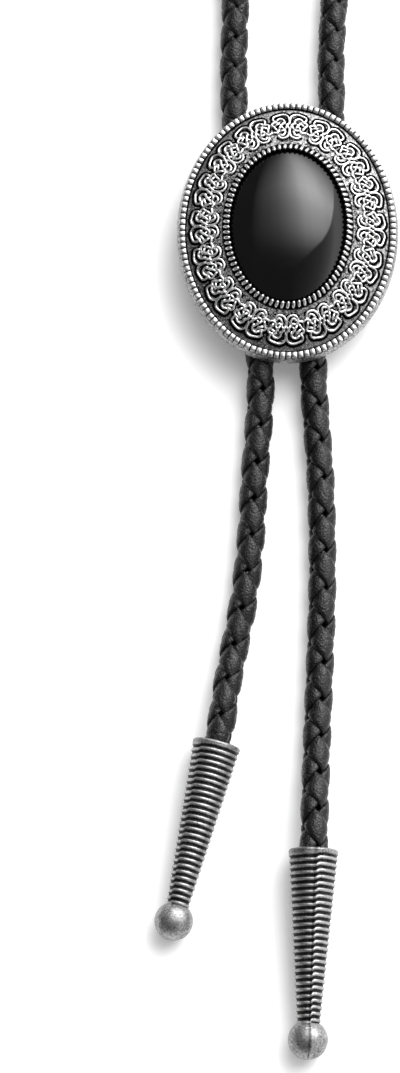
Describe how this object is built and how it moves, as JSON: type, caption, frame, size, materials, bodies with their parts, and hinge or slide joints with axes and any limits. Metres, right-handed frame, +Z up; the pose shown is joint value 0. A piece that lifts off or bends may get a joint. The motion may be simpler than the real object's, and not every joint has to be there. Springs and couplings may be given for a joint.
{
  "type": "bolo tie",
  "caption": "Braided leather cord necktie with an oval cast slide, a domed black stone, a knotwork border and ringed ball-ended metal tips, lying flat.",
  "frame": {"origin": "on the surface that the tie lies on, under the middle of the slide, at the flat underside of the back clip", "axes": "+Z up from the surface out of the stone, +Y from the slide towards the neck loop, +X to the right seen from above"},
  "size_m": [0.184, 0.4457, 0.0145],
  "materials": {
    "cast_silver": "antique silver plate, polished high spots over dark stippled recesses",
    "black_stone": "polished, glossy",
    "clip_metal": "plain nickel plate, satin",
    "cord_leather": "black braided lace, semi-gloss, fine grain",
    "tip_silver": "antique silver plate, dark grooves, satin, fine casting pits"
  },
  "bodies": {
    "root": {"slide": "cast_silver", "stone": "black_stone", "back_clip": "clip_metal", "neck_cord": "cord_leather", "tail_left": "cord_leather", "tail_right": "cord_leather", "tip_left": "tip_silver", "tip_right": "tip_silver"}
  },
  "joints": []
}
